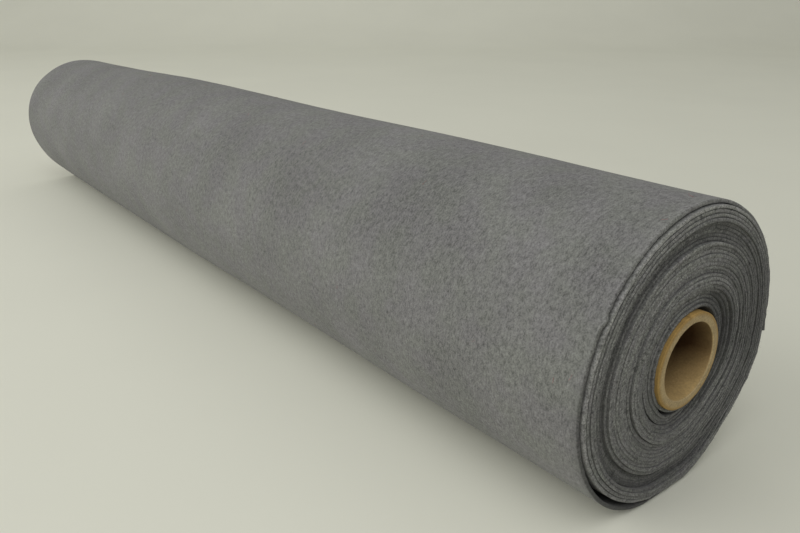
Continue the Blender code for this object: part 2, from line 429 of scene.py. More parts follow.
# The edge of the outermost turn has been handled most, so it is worn rounder
worn = 1.0 - smooth_step((strip_turns - 0.9) / 0.1)
bevel = CUT_BEVEL + (WORN_BEVEL - CUT_BEVEL) * worn
shoulder = CUT_SHOULDER + (WORN_SHOULDER - CUT_SHOULDER) * worn
outer_side_x = np.repeat(side_x[None, :], station_count, axis=0)
outer_side_x[:, 0] = x_far + bevel
outer_side_x[:, -1] = x_near - bevel
near_cut_x = np.stack([x_near, x_near + CUT_BULGE, x_near], axis=1) + rough[:, :3]
near_cut_r = np.stack(
    [outer_near - shoulder, 0.5 * (outer_near + inner_near), inner_near + CUT_SHOULDER], axis=1
)
far_cut_x = np.stack([x_far, x_far - CUT_BULGE, x_far], axis=1) + rough[:, 3:]
far_cut_r = np.stack(
    [inner_far + CUT_SHOULDER, 0.5 * (outer_far + inner_far), outer_far - shoulder], axis=1
)
loop_x = np.concatenate([outer_side_x, near_cut_x, outer_side_x[:, ::-1], far_cut_x], axis=1)
loop_r = np.concatenate([side_outer, near_cut_r, side_inner[:, ::-1], far_cut_r], axis=1)
loop_y = loop_r * np.cos(strip_turn)[:, None] + tube_y
loop_z = np.maximum(loop_r * np.sin(strip_turn)[:, None] + AXIS_HEIGHT, 0.0)
loops = np.stack([loop_x, loop_y, loop_z], axis=2)

side_count = len(side_x)
loop_count = loop_x.shape[1]
kept_on_side = np.concatenate([[True], is_sparse, [True]])
kept = np.concatenate([kept_on_side, np.ones(3, bool), kept_on_side[::-1], np.ones(3, bool)])
sparse_columns = np.flatnonzero(kept)
dense_rows = int(DENSE_TURNS * STATIONS) + 1
print("points round a shown section", loop_count, "and round a hidden one", len(sparse_columns))

# %% Faces of the strip
def ring_faces(lower, upper):
    """Four-sided faces between two rows of a closed ring, from arrays (rows, points)."""
    quads = [lower, np.roll(lower, -1, axis=1), np.roll(upper, -1, axis=1), upper]
    return np.stack(quads, axis=2).reshape(-1, 4)


def cap_faces(ring, sides):
    """Faces that close a flat section: strips between its two sides and one face at each cut edge."""
    outer = ring[:sides]
    inner = ring[sides + 3:2 * sides + 3][::-1]
    quads = np.stack([outer[:-1], inner[:-1], inner[1:], outer[1:]], axis=1).tolist()
    near_cut = [outer[-1], inner[-1], *ring[sides:sides + 3][::-1]]
    far_cut = [inner[0], outer[0], *ring[2 * sides + 3:][::-1]]
    return quads + [[int(i) for i in near_cut], [int(i) for i in far_cut]]


dense_index = np.arange(dense_rows * loop_count).reshape(dense_rows, loop_count)
sparse_rows = station_count - dense_rows
sparse_index = dense_index.size + np.arange(sparse_rows * len(sparse_columns))
sparse_index = sparse_index.reshape(sparse_rows, len(sparse_columns))

faces = ring_faces(dense_index[:-1], dense_index[1:]).tolist()
last_ring = dense_index[-1]
for i, column in enumerate(sparse_columns):
    after = sparse_columns[(i + 1) % len(sparse_columns)]
    reach = after if after > column else after + loop_count
    across = [int(last_ring[c % loop_count]) for c in range(column, reach + 1)]
    returning = [int(sparse_index[0, (i + 1) % len(sparse_columns)]), int(sparse_index[0, i])]
    faces.append(across + returning)
faces += ring_faces(sparse_index[:-1], sparse_index[1:]).tolist()
faces += cap_faces(dense_index[0], side_count)
sparse_sides = int(kept_on_side.sum())
faces += [face[::-1] for face in cap_faces(sparse_index[-1], sparse_sides)]
# So far the faces look into the cloth, and all are turned to look out of it
faces = [face[::-1] for face in faces]

# %% Mesh of the strip
def smooth_mesh(name, points, faces):
    """A smoothly shaded mesh from a list of points and a list of faces."""
    mesh = bpy.data.meshes.new(name)
    mesh.from_pydata(points, [], faces)
    mesh.shade_smooth()
    return mesh


def add_object(name, data):
    """Puts a mesh, light or camera into the scene under a name."""
    thing = bpy.data.objects.new(name, data)
    bpy.context.scene.collection.objects.link(thing)
    return thing


def set_marks(mesh, **marks):
    """Writes one number for every point of a mesh under each name, for its material to read."""
    for name, values in marks.items():
        mark = mesh.attributes.new(name=name, type="FLOAT", domain="POINT")
        mark.data.foreach_set("value", values.astype(np.float32))


dense_points = loops[:dense_rows].reshape(-1, 3)
sparse_points = loops[dense_rows:, sparse_columns].reshape(-1, 3)
points = np.concatenate([dense_points, sparse_points])
felt_mesh = smooth_mesh("felt_strip", points.tolist(), faces)
felt_mesh.set_sharp_from_angle(angle=math.radians(42))

print("felt triangles", sum(len(face) - 2 for face in faces))

# %% [markdown]
# ## Marks on the strip for its material
#
# The fibres of felt run mostly along the strip, so the material needs to know which way that is.
# Every point is given its place on the flat cloth in metres: how far along the strip it is, and
# how far round the section. Three more marks say where the cloth is cut, how dark each turn's
# edge looks, which is partly tone that differs from turn to turn and partly painted light and
# shade, and which points lie hidden between the turns, where painted shade darkens them.

# %% Places on the flat cloth
def place_round_section():
    """Distance round a section of the flat strip to each of its points, in metres."""
    side = side_x - far_edge
    near_cut = FELT_WIDTH + FELT_THICKNESS * np.array([0.25, 0.5, 0.75])
    inner_side = FELT_WIDTH + FELT_THICKNESS + (side[-1] - side[::-1])
    far_cut = 2 * FELT_WIDTH + FELT_THICKNESS * np.array([1.25, 1.5, 1.75])
    return np.concatenate([side, near_cut, inner_side, far_cut])


section_place = place_round_section()
section_end = 2 * (FELT_WIDTH + FELT_THICKNESS)
along_dense = np.repeat(strip_length[:dense_rows], loop_count)
along_sparse = np.repeat(strip_length[dense_rows:], len(sparse_columns))
point_along = np.concatenate([along_dense, along_sparse])
across_dense = np.tile(section_place, dense_rows)
across_sparse = np.tile(section_place[sparse_columns], sparse_rows)
point_across = np.concatenate([across_dense, across_sparse])

corner_point = np.zeros(len(felt_mesh.loops), dtype=np.int32)
felt_mesh.loops.foreach_get("vertex_index", corner_point)
corner_counts = np.array([len(face) for face in faces])
face_starts = np.concatenate([[0], np.cumsum(corner_counts)[:-1]])
corner_u = point_along[corner_point]
corner_v = point_across[corner_point]
# A face that closes the loop goes up to the section's whole length there, not back to 0
highest = np.repeat(np.maximum.reduceat(corner_v, face_starts), corner_counts)
wraps = (highest > section_end - 0.5 * FELT_WIDTH) & (corner_v < 0.5 * FELT_THICKNESS)
cap_count = side_count + sparse_sides + 2
is_cap = np.repeat(np.arange(len(faces)) >= len(faces) - cap_count, corner_counts)
corner_v = np.where(wraps & ~is_cap, section_end, corner_v)
cloth_place = felt_mesh.uv_layers.new(name="cloth")
cloth_place.data.foreach_set("uv", np.stack([corner_u, corner_v], axis=1).ravel())

# %% Cut edges and tone of each turn
on_cut = np.zeros(loop_count)
on_cut[side_count:side_count + 3] = 1.0
on_cut[2 * side_count + 3:] = 1.0
on_cut[[0, side_count - 1, side_count + 3, 2 * side_count + 2]] = 0.6
dense_cut = np.tile(on_cut, (dense_rows, 1)) * (1.0 - 0.25 * worn[:dense_rows, None])
point_cut = np.concatenate([dense_cut.ravel(), np.tile(on_cut[sparse_columns], sparse_rows)])

dense_hidden = np.ones((dense_rows, loop_count))
dense_hidden[:STATIONS + 1, :side_count + 3] = 0.0
point_hidden = np.concatenate([dense_hidden.ravel(), np.ones(sparse_points.shape[0])])

# How light a cut edge looks: turns in from the loose end, factor. The dip on the outermost turn
# at the lower left is painted shadow where the roll lies on the floor. The dips where the edges
# lie back, most of all from 5.3 to 9.2 turns in, are painted shade. The other values make some
# turns lighter and some darker
TONE_AND_SHADE_OF_TURNS = (
    (0.0, 1.00), (0.44, 0.95), (0.52, 0.60), (0.62, 0.24), (0.78, 0.24), (0.92, 1.05),
    (1.7, 1.20), (2.3, 1.05), (3.6, 1.07), (4.5, 0.96), (5.3, 0.60), (7.0, 0.66), (7.4, 0.80),
    (7.8, 0.62), (9.2, 0.58), (10.2, 1.22), (11.0, 0.98), (12.0, 1.06), (14.0, 0.98),
    (16.0, 1.06), (17.2, 0.80), (18.6, 1.12), (20.0, 0.98), (21.5, 1.08), (22.8, 0.82),
    (24.0, 0.84), (25.5, 0.90), (28.0, 0.95),
)
# The same round the roll: angle, factor. This is painted light and shade: the top and the left
# of the end are lightened and its right side darkened, as the light falls on it
LIGHT_AND_SHADE_ROUND = (
    (-6, 0.62), (20, 0.64), (45, 0.84), (68, 1.12), (90, 1.20), (150, 1.18), (190, 1.08),
    (230, 0.93), (270, 0.94), (300, 1.02), (330, 1.04), (354, 0.60),
)
# On the side turned away the outer turns look more alike, and the turns beside the tube there,
# which lie back, are darkened as painted shade
level_side = back * (1.0 - smooth_step((strip_turns - 12.0) / 4.0))
turn_tone_and_shade = 1.0 + (curve_through(strip_turns, TONE_AND_SHADE_OF_TURNS) - 1.0) * (1.0 - 0.6 * level_side)
shade_beside_tube = smooth_step(back / 0.6) * smooth_step((strip_turns - 21.6) / 1.2)
turn_tone_and_shade = turn_tone_and_shade * (1.0 - 0.22 * shade_beside_tube)
round_angle = LOOSE_END_ANGLE + (strip_angle - LOOSE_END_ANGLE) % TURN_DEGREES
turn_tone_and_shade = turn_tone_and_shade * curve_through(round_angle, LIGHT_AND_SHADE_ROUND)
turn_tone_and_shade = turn_tone_and_shade * (1.0 + (0.07 + 0.20 * back) * soft_noise(strip_turns * 3.3, 61))
turn_tone_and_shade = turn_tone_and_shade * (1.0 + 0.06 * soft_noise(strip_length / 0.013, 62))
# The inner rim of each cut edge is darkened as painted shade, most on the side turned away, and
# the outer rim is lightened a little as painted light
inner_shade = 0.80 - 0.38 * smooth_step(back / 0.9)
section_tone = np.repeat(turn_tone_and_shade[:, None], loop_count, axis=1)
section_tone[:, [side_count, 2 * side_count + 5]] *= 1.08
for column in (side_count + 2, side_count + 3, 2 * side_count + 2, 2 * side_count + 3):
    section_tone[:, column] *= inner_shade
point_tone = np.concatenate([
    section_tone[:dense_rows].ravel(), section_tone[dense_rows:, sparse_columns].ravel()
])
set_marks(felt_mesh, cut=point_cut, tone=point_tone, hidden=point_hidden)
felt = add_object("felt_strip", felt_mesh)
print("tone of the cut edges from", round(float(turn_tone_and_shade.min()), 2), "to",
      round(float(turn_tone_and_shade.max()), 2))

# %% [markdown]
# ## The cardboard tube
#
# The tube is wound from plies of brown board, so its rim shows fine rings where the plies meet,
# and a little step where the outermost ply ends. The saw left the inner edge of the rim slightly
# ragged.

# %% Cardboard tube
TUBE_AROUND = 180
RIM_RINGS = 17
RIM_BEVEL = 0.30 * MM
RIM_ROLL = 0.30 * MM
PLY_COUNT = 8
PLY_GROOVE = 0.10 * MM
PLY_END_ANGLE = 102.0
PLY_STEP = 0.15 * MM
RIM_DEPTH = 0.9 * MM
BODY_MARGIN = 0.004

tube_angle = np.arange(TUBE_AROUND) * TURN_DEGREES / TUBE_AROUND
tube_turn = np.radians(tube_angle)
past_end = (tube_angle - PLY_END_ANGLE) % TURN_DEGREES
ply_step = smooth_step(past_end / 3.0) * (1.0 - smooth_step(past_end / 300.0))
tube_outer = TUBE_OUTER_RADIUS - PLY_STEP * (1.0 - ply_step)
# The inner edge is most ragged on the right of the rim
ragged = 0.5 + 0.5 * soft_noise(tube_angle / 9.0, 71)
beside = np.exp(-((((tube_angle + 5.0 + 180.0) % TURN_DEGREES) - 180.0) / 45.0) ** 2)
tube_inner = TUBE_INNER_RADIUS + (0.10 + 0.50 * beside) * ragged * MM

inward = np.linspace(0.0, 1.0, RIM_RINGS)
groove = -PLY_GROOVE * np.cos(np.pi * inward * PLY_COUNT) ** 8 * (inward > 0.02) * (inward < 0.98)
near_rim = tube_half - RIM_DEPTH
body_x = np.linspace(-tube_half + BODY_MARGIN, tube_half - BODY_MARGIN, 13)
body_x = np.concatenate([[-near_rim], body_x, [near_rim]])


def tube_rim(sign, seed):
    """Points of one rim from its outer edge to its inner edge: place along the tube and radius."""
    radius = tube_outer[:, None] + (tube_inner - tube_outer)[:, None] * inward[None, :]
    sawn = 0.05 * MM * soft_noise_2d(tube_angle[:, None] / 7.0, inward[None, :] * 9.0, seed)
    rounded = RIM_BEVEL * (np.abs(2.0 * inward - 1.0) ** 14)[None, :]
    rounded = rounded + RIM_ROLL * (1.0 - smooth_step(inward / 0.25))[None, :]
    return sign * (tube_half - rounded - 0.06 * MM + groove[None, :] + sawn), radius


near_rim_x, near_rim_r = tube_rim(1.0, 72)
far_rim_x, far_rim_r = tube_rim(-1.0, 73)
flat_x = np.repeat(body_x[None, :], TUBE_AROUND, axis=0)
outer_r = np.repeat(tube_outer[:, None], len(body_x), axis=1)
bore_r = np.full((TUBE_AROUND, len(body_x)), TUBE_INNER_RADIUS)
tube_x = np.concatenate([flat_x, near_rim_x, flat_x[:, ::-1], far_rim_x[:, ::-1]], axis=1)
tube_r = np.concatenate([outer_r, near_rim_r, bore_r, far_rim_r[:, ::-1]], axis=1)
tube_points = np.stack([
    tube_x,
    tube_r * np.cos(tube_turn)[:, None] + tube_y,
    tube_r * np.sin(tube_turn)[:, None] + AXIS_HEIGHT,
], axis=2)

tube_columns = tube_x.shape[1]
tube_index = np.arange(TUBE_AROUND * tube_columns).reshape(TUBE_AROUND, tube_columns)
tube_faces = ring_faces(tube_index, np.roll(tube_index, -1, axis=0))
tube_points = tube_points.reshape(-1, 3).tolist()
tube_mesh = smooth_mesh("cardboard_tube", tube_points, tube_faces[:, ::-1].tolist())
tube_mesh.set_sharp_from_angle(angle=math.radians(50))

# %% Marks on the tube
on_rim = np.zeros(tube_columns)
on_rim[len(body_x):len(body_x) + RIM_RINGS] = 1.0
on_rim[-RIM_RINGS:] = 1.0
in_bore = np.zeros(tube_columns)
in_bore[len(body_x) + RIM_RINGS:-RIM_RINGS] = 1.0
skin_on_rim = 1.0 - smooth_step((inward - 0.05) / 0.48)
on_rim[len(body_x):len(body_x) + RIM_RINGS] -= skin_on_rim
on_rim[-RIM_RINGS:] -= skin_on_rim[::-1]
in_groove = np.zeros(tube_columns)
in_groove[len(body_x):len(body_x) + RIM_RINGS] = -groove / PLY_GROOVE
in_groove[-RIM_RINGS:] = -groove[::-1] / PLY_GROOVE
ply_end = 1.2 * np.exp(-((tube_angle - PLY_END_ANGLE) / 1.5) ** 2)
ply_end = ply_end - 0.8 * np.exp(-((tube_angle - PLY_END_ANGLE + 7.0) / 4.0) ** 2)
in_groove = np.tile(in_groove, (TUBE_AROUND, 1))
in_groove = in_groove + ply_end[:, None] * (1.0 - np.maximum(on_rim, in_bore))
set_marks(
    tube_mesh, rim=np.tile(on_rim, TUBE_AROUND), bore=np.tile(in_bore, TUBE_AROUND),
    groove=in_groove.ravel(),
)
tube = add_object("cardboard_tube", tube_mesh)
print("tube triangles", 2 * len(tube_faces))

# The place on the flat board: share of the way round, and metres along the tube
tube_board = tube_mesh.uv_layers.new(name="board")
row_share = np.arange(TUBE_AROUND)[:, None] / TUBE_AROUND
lower_u = np.repeat(row_share, tube_columns, axis=1)
upper_u = lower_u + 1.0 / TUBE_AROUND
corner_share = np.stack([upper_u, upper_u, lower_u, lower_u], axis=2)
here_x = tube_x
next_x = np.roll(tube_x, -1, axis=1)
corner_place = np.stack([here_x, next_x, next_x, here_x], axis=2)
tube_board.data.foreach_set("uv", np.stack([corner_share, corner_place], axis=3).ravel())

# %% [markdown]
# ## Loose fibres
#
# Felt is pressed from fibres without weaving, so some always stand free. They break up the
# outline and blur the cut edges. Each fibre is a thin three-sided hair with pointed ends that
# starts in the cloth, bends sideways and lifts a little. A few are pink or red, as strays from
# another batch.

# %% Fibre paths
HAIR_STEPS = np.array([0.0, 0.3, 0.65, 0.9, 1.0])
HAIR_SIDES = 3
SURFACE_HAIRS = 3200
NEAR_HAIRS = 4200
FAR_HAIRS = 1800
RED_HAIRS = 70
HAIR_RADIUS = 0.030 * MM
RED_RADIUS = 0.075 * MM
HAIR_CLEAR = 0.00012

hair_random = np.random.default_rng(81)


def unit(vectors):
    """Vectors scaled to length 1."""
    return vectors / np.linalg.norm(vectors, axis=-1, keepdims=True)


def outward(turn):
    """Directions straight away from the tube's axis."""
    return np.stack([np.zeros(len(turn)), np.cos(turn), np.sin(turn)], axis=1)


def hair_paths(root, along, out, length, lift, bend):
    """Centre lines as an array (hair, step, xyz): root + along s + out lift s^2 + sideways bend s^2."""
    aside = unit(np.cross(along, out))
    s = HAIR_STEPS[None, :, None]
    path = root[:, None, :] + along[:, None, :] * (length[:, None, None] * s)
    path = path + out[:, None, :] * (lift[:, None, None] * s ** 2)
    return path + aside[:, None, :] * (bend[:, None, None] * s ** 2)


def surface_hairs(count, shortest, longest):
    """Hairs that lie on the outermost turn, mostly round the roll."""
    row = hair_random.integers(1, STATIONS - 1, count)
    column = hair_random.integers(1, side_count - 2, count)
    share = hair_random.uniform(0.0, 1.0, count)
    x = outer_side_x[row, column] * (1 - share) + outer_side_x[row, column + 1] * share
    radius = side_outer[row, column] * (1 - share) + side_outer[row, column + 1] * share
    out = outward(strip_turn[row])
    around = out[:, [0, 2, 1]] * (0.0, -1.0, 1.0)
    root = out * (radius - 0.05 * MM)[:, None] + (0.0, tube_y, AXIS_HEIGHT)
    root[:, 0] = x
    lean = hair_random.normal(0.0, math.radians(35), count)
    sign = hair_random.choice([-1.0, 1.0], count)
    along = around * (np.cos(lean) * sign)[:, None]
    along[:, 0] += np.sin(lean)
    length = hair_random.uniform(shortest, longest, count) * MM
    drop = length ** 2 / (2.0 * radius)
    lift = hair_random.uniform(0.0, 0.28, count) * MM - drop
    bend = hair_random.normal(0.0, 0.22, count) * length
    return hair_paths(root, along, out, length, lift, bend)


def edge_hairs(count, x_edge, column, sign):
    """Hairs that stand out of a cut edge."""
    row = hair_random.integers(2, station_count - 2, count)
    share = hair_random.uniform(0.1, 0.9, count)
    radius = side_outer[row, column] * share + side_inner[row, column] * (1.0 - share)
    out = outward(strip_turn[row])
    root = out * radius[:, None] + (0.0, tube_y, AXIS_HEIGHT)
    root[:, 0] = x_edge[row] - sign * 0.1 * MM
    along = hair_random.normal(0.0, 0.75, (count, 3))
    along[:, 0] = sign * np.abs(hair_random.normal(0.7, 0.3, count))
    along = unit(along)
    length = hair_random.uniform(0.5, 1.8, count) * MM
    lift = hair_random.normal(0.0, 0.30, count) * length
    bend = hair_random.normal(0.0, 0.30, count) * length
    return hair_paths(root, along, unit(out + 0.01), length, lift, bend)


grey_paths = np.concatenate([
    surface_hairs(SURFACE_HAIRS, 1.5, 5.0),
    edge_hairs(NEAR_HAIRS, x_near, -1, 1.0),
    edge_hairs(FAR_HAIRS, x_far, 0, -1.0),
])
red_paths = surface_hairs(RED_HAIRS, 3.0, 7.0)
hair_path = np.concatenate([grey_paths, red_paths])
hair_path[:, :, 2] = np.maximum(hair_path[:, :, 2], HAIR_CLEAR)
hair_radius = np.full(len(hair_path), HAIR_RADIUS)
hair_radius[len(grey_paths):] = RED_RADIUS
hair_red = np.zeros(len(hair_path))
hair_red[len(grey_paths):] = 1.0
hair_light = hair_random.uniform(0.55, 1.45, len(hair_path))

# %% Fibre mesh
def hair_mesh(paths, radii):
    """Points and triangles of pointed three-sided hairs round the given paths."""
    count = len(paths)
    direction = unit(paths[:, -1] - paths[:, 0])
    helper = np.where(np.abs(direction[:, :1]) > 0.8, [[0.0, 0.0, 1.0]], [[1.0, 0.0, 0.0]])
    first = unit(np.cross(direction, helper))
    second = np.cross(direction, first)
    around = np.arange(HAIR_SIDES) * 2.0 * np.pi / HAIR_SIDES
    ring = first[:, None, :] * np.cos(around)[None, :, None]
    ring = (ring + second[:, None, :] * np.sin(around)[None, :, None]) * radii[:, None, None]
    rings = paths[:, 1:-1, None, :] + ring[:, None, :, :]
    inner = rings.reshape(count, -1, 3)
    points = np.concatenate([paths[:, :1], inner, paths[:, -1:]], axis=1)
    per_hair = points.shape[1]
    triangles = []
    ring_count = rings.shape[1]
    for side in range(HAIR_SIDES):
        after = (side + 1) % HAIR_SIDES
        triangles.append((0, 1 + after, 1 + side))
        for level in range(ring_count - 1):
            low = 1 + level * HAIR_SIDES
            high = low + HAIR_SIDES
            triangles.append((low + side, low + after, high + after))
            triangles.append((low + side, high + after, high + side))
        top = 1 + (ring_count - 1) * HAIR_SIDES
        triangles.append((top + side, top + after, per_hair - 1))
    shifts = np.arange(count)[:, None, None] * per_hair
    return points, (np.array(triangles)[None, :, :] + shifts).reshape(-1, 3)


hair_points, hair_faces = hair_mesh(hair_path, hair_radius)
points_per_hair = hair_points.shape[1]
hair_points = hair_points.reshape(-1, 3).tolist()
fibre_mesh = smooth_mesh("loose_fibres", hair_points, hair_faces.tolist())
set_marks(
    fibre_mesh, red=np.repeat(hair_red, points_per_hair),
    light=np.repeat(hair_light, points_per_hair),
)
fibres = add_object("loose_fibres", fibre_mesh)
print("fibre triangles", len(hair_faces))

# %% [markdown]
# ## Materials
#
# A small helper keeps the material code readable: it adds one node, sets its values and joins
# whatever comes from another node.

# %% Helper for materials
class Paint:
    """A material being put together round one Principled BSDF."""

    def __init__(self, name):
        """Starts a material with its usual shader."""
        self.material = bpy.data.materials.new(name)
        self.material.use_nodes = True
        self.tree = self.material.node_tree
        self.shader = self.tree.nodes["Principled BSDF"]

    def join(self, node, socket, value):
        """Sets one input, or joins it to the output that is given."""
        if isinstance(value, bpy.types.NodeSocket):
            self.tree.links.new(value, node.inputs[socket])
        else:
            node.inputs[socket].default_value = value

    def put(self, kind, inputs, output=0, **settings):
        """Adds a node with its settings and inputs and returns one of its outputs."""
        node = self.tree.nodes.new(kind)
        for key, value in settings.items():
            setattr(node, key, value)
        for socket, value in inputs.items():
            self.join(node, socket, value)
        return node.outputs[output]

    def number(self, operation, a, b=0.0):
        """A number worked out from one or two others, by the name that Blender gives the sum."""
        return self.put("ShaderNodeMath", {0: a, 1: b}, operation=operation)

    def sum_of(self, a, b):
        """a + b."""
        return self.number("ADD", a, b)

    def product(self, a, b):
        """a times b."""
        return self.number("MULTIPLY", a, b)

    def ramp(self, value, low, high, start, end):
        """A straight ramp from start at low to end at high, and level beyond."""
        inputs = {"Value": value, "From Min": low, "From Max": high, "To Min": start, "To Max": end}
        return self.put("ShaderNodeMapRange", inputs)

    def between(self, share, first, second):
        """A colour between two colours."""
        inputs = {0: share, 6: first, 7: second}
        return self.put("ShaderNodeMix", inputs, output=2, data_type="RGBA")

    def value_between(self, share, first, second):
        """A number between two numbers."""
        return self.put("ShaderNodeMix", {0: share, 2: first, 3: second}, data_type="FLOAT")

    def times(self, colour, factor):
        """A colour made lighter or darker by a factor."""
        return self.put("ShaderNodeVectorMath", {0: colour, "Scale": factor}, operation="SCALE")

    def noise(self, place, scale, detail=2.0, roughness=0.5, dimensions="2D"):
        """Soft noise between 0 and 1 that changes about scale times in a metre."""
        inputs = {"Vector": place, "Scale": scale, "Detail": detail, "Roughness": roughness}
        return self.put("ShaderNodeTexNoise", inputs, noise_dimensions=dimensions)

    def mark(self, name):
        """The value of a mark made on the mesh."""
        return self.put("ShaderNodeAttribute", {}, output=2, attribute_name=name)

    def mapped(self, place, scale, turn=0.0):
        """A place turned in its plane by some degrees and then stretched."""
        turned = self.put(
            "ShaderNodeVectorRotate", {"Vector": place, "Angle": math.radians(turn)},
            rotation_type="Z_AXIS",
        )
        return self.put("ShaderNodeVectorMath", {0: turned, 1: scale}, operation="MULTIPLY")

    def finish(self, mesh, roughness, gloss):
        """Sets how rough and how glossy the surface is and gives the material to a mesh."""
        self.shader.inputs["Roughness"].default_value = roughness
        self.shader.inputs["Specular IOR Level"].default_value = gloss
        mesh.materials.append(self.material)


# %% [markdown]
# ### Felt
#
# The grey comes from light and dark fibres lying in every direction but mostly along the strip.
# Three fields of stretched noise, each turned a little, stand for three layers of fibres. Where
# all three are low a dark pit shows, and where one is high a light fibre crosses. Softer noise
# gives the cloudiness of pressed felt, first by the half centimetre and then by the hand's width,
# and the grey itself is a little cooler in some places than in others.
#
# A cut edge shows fibre ends instead: a grain, soft blotches and a few dark flecks of fluff, all
# times the tone of its turn, which holds painted light and shade. The sides that lie between the
# turns get darker inward from the cut, as painted shade where no light reaches them.

# %% Felt material
FELT_COLOUR = (0.165, 0.169, 0.156, 1.0)
COOL_COLOUR = (0.167, 0.165, 0.164, 1.0)
CUT_SHADE = 0.87
GAP_SHADE = 0.35
GAP_STARTS = 0.0016
GAP_ENDS = 0.0042
FIBRE_STRETCH = (360.0, 800.0, 1.0)
FINE_STRETCH = (660.0, 1400.0, 1.0)
CLOUD_STRETCH = (240.0, 300.0, 1.0)

paint = Paint("grey felt")
cloth = paint.put("ShaderNodeUVMap", {}, uv_map="cloth")
layers = []
for turn, stretch in ((4.0, FIBRE_STRETCH), (48.0, FINE_STRETCH), (-41.0, FINE_STRETCH)):
    layers.append(paint.noise(paint.mapped(cloth, stretch, turn), 1.0, detail=2.0))
highest = paint.number("MAXIMUM", paint.number("MAXIMUM", layers[0], layers[1]), layers[2])
lowest = paint.number("MINIMUM", paint.number("MINIMUM", layers[0], layers[1]), layers[2])
light_fibres = paint.ramp(highest, 0.56, 0.78, 0.0, 0.28)
dark_pits = paint.ramp(lowest, 0.46, 0.24, 0.0, -0.42)
cloudy = paint.noise(paint.mapped(cloth, CLOUD_STRETCH, 10.0), 1.0, detail=3.0)
cloudy = paint.ramp(cloudy, 0.25, 0.75, -0.18, 0.18)
patchy = paint.ramp(paint.noise(cloth, 16.0, detail=3.0), 0.25, 0.75, -0.11, 0.11)
side_tone = paint.sum_of(paint.sum_of(light_fibres, dark_pits), paint.sum_of(cloudy, patchy))
side_tone = paint.sum_of(side_tone, 1.0)

solid_place = paint.put("ShaderNodeTexCoord", {}, output=3)
cut_grain = paint.noise(solid_place, 950.0, detail=4.0, roughness=0.7, dimensions="3D")
cut_blotch = paint.noise(solid_place, 420.0, detail=2.0, dimensions="3D")
cut_flecks = paint.noise(solid_place, 330.0, detail=3.0, roughness=0.7, dimensions="3D")
cut_tone = paint.ramp(cut_grain, 0.36, 0.64, 0.42 * CUT_SHADE, 1.58 * CUT_SHADE)
cut_tone = paint.product(cut_tone, paint.ramp(cut_blotch, 0.3, 0.7, 0.80, 1.20))
cut_tone = paint.product(cut_tone, paint.ramp(cut_flecks, 0.34, 0.43, 0.42, 1.05))
cut_tone = paint.product(cut_tone, paint.mark("tone"))
tone = paint.value_between(paint.mark("cut"), side_tone, cut_tone)

across = paint.put("ShaderNodeSeparateXYZ", {"Vector": cloth}).node.outputs[1]
shifted = paint.sum_of(across, 0.5 * FELT_THICKNESS)
half_loop = 0.5 * (FELT_WIDTH + FELT_THICKNESS)
from_cut = paint.number("PINGPONG", shifted, half_loop)
in_gap = paint.ramp(from_cut, GAP_STARTS, GAP_ENDS, 1.0, GAP_SHADE)
tone = paint.product(tone, paint.value_between(paint.mark("hidden"), 1.0, in_gap))
hue = paint.ramp(paint.noise(cloth, 42.0, detail=3.0), 0.35, 0.65, 0.0, 1.0)
greys = paint.between(hue, FELT_COLOUR, COOL_COLOUR)
paint.join(paint.shader, "Base Color", paint.times(greys, tone))

relief = paint.sum_of(layers[0], paint.product(layers[1], 0.6))
relief = paint.sum_of(relief, paint.product(cut_grain, paint.product(paint.mark("cut"), 1.4)))
bump = paint.put("ShaderNodeBump", {"Strength": 0.55, "Distance": 0.0007, "Height": relief})
paint.join(paint.shader, "Normal", bump)
paint.shader.inputs["Sheen Weight"].default_value = 0.12
paint.shader.inputs["Sheen Roughness"].default_value = 0.6
paint.finish(felt_mesh, 0.95, 0.15)

# %% Loose fibre material
STRAY_COLOUR = (0.34, 0.085, 0.085, 1.0)

paint = Paint("loose fibres")
grey = paint.times(FELT_COLOUR[:3], paint.mark("light"))
stray = paint.between(paint.mark("red"), grey, STRAY_COLOUR)
paint.join(paint.shader, "Base Color", stray)
paint.finish(fibre_mesh, 0.8, 0.2)

# %% [markdown]
# ### Cardboard
#
# Brown board has short fibres too. Its outside is a warmer brown than the sawn rim, the rim is
# streaked along its plies, and a faint seam runs round the tube like the stripe on a barber's
# pole, where the edges of one ply meet. The bore gets darker inward and towards its top, as the
# light that enters falls on its lower side.

# %% Cardboard material
SEAM_PITCH = 0.13
SKIN_COLOUR = (0.37, 0.235, 0.075, 1.0)
SAWN_COLOUR = (0.43, 0.325, 0.170)
BORE_LIGHT = (0.53, 0.370, 0.160, 1.0)
BORE_DARK = (0.060, 0.028, 0.009, 1.0)
STREAK_STRETCH = (60.0, 700.0, 700.0)

paint = Paint("brown cardboard")
place = paint.put("ShaderNodeTexCoord", {}, output=3)
board = paint.put("ShaderNodeUVMap", {}, uv_map="board")
grain = paint.noise(place, 900.0, detail=3.0, roughness=0.6, dimensions="3D")
cloud = paint.noise(place, 150.0, detail=2.0, dimensions="3D")
way_round = paint.put("ShaderNodeSeparateXYZ", {"Vector": board})
along_tube = way_round.node.outputs[1]
spiral = paint.sum_of(way_round, paint.product(along_tube, 1.0 / SEAM_PITCH))
spiral = paint.number("FRACT", spiral)
seam = paint.number("ABSOLUTE", paint.number("SUBTRACT", spiral, 0.5))
seam = paint.ramp(seam, 0.494, 0.5, 1.0, 0.72)
from_middle = paint.put("ShaderNodeSeparateXYZ", {"Vector": place})
place_up = from_middle.node.outputs[2]
from_middle = paint.number("ABSOLUTE", from_middle)
depth = paint.ramp(from_middle, tube_half - 0.001, tube_half - 0.020, 0.0, 0.45)
height = paint.ramp(place_up, AXIS_HEIGHT - 0.020, AXIS_HEIGHT - 0.001, 0.0, 0.72)
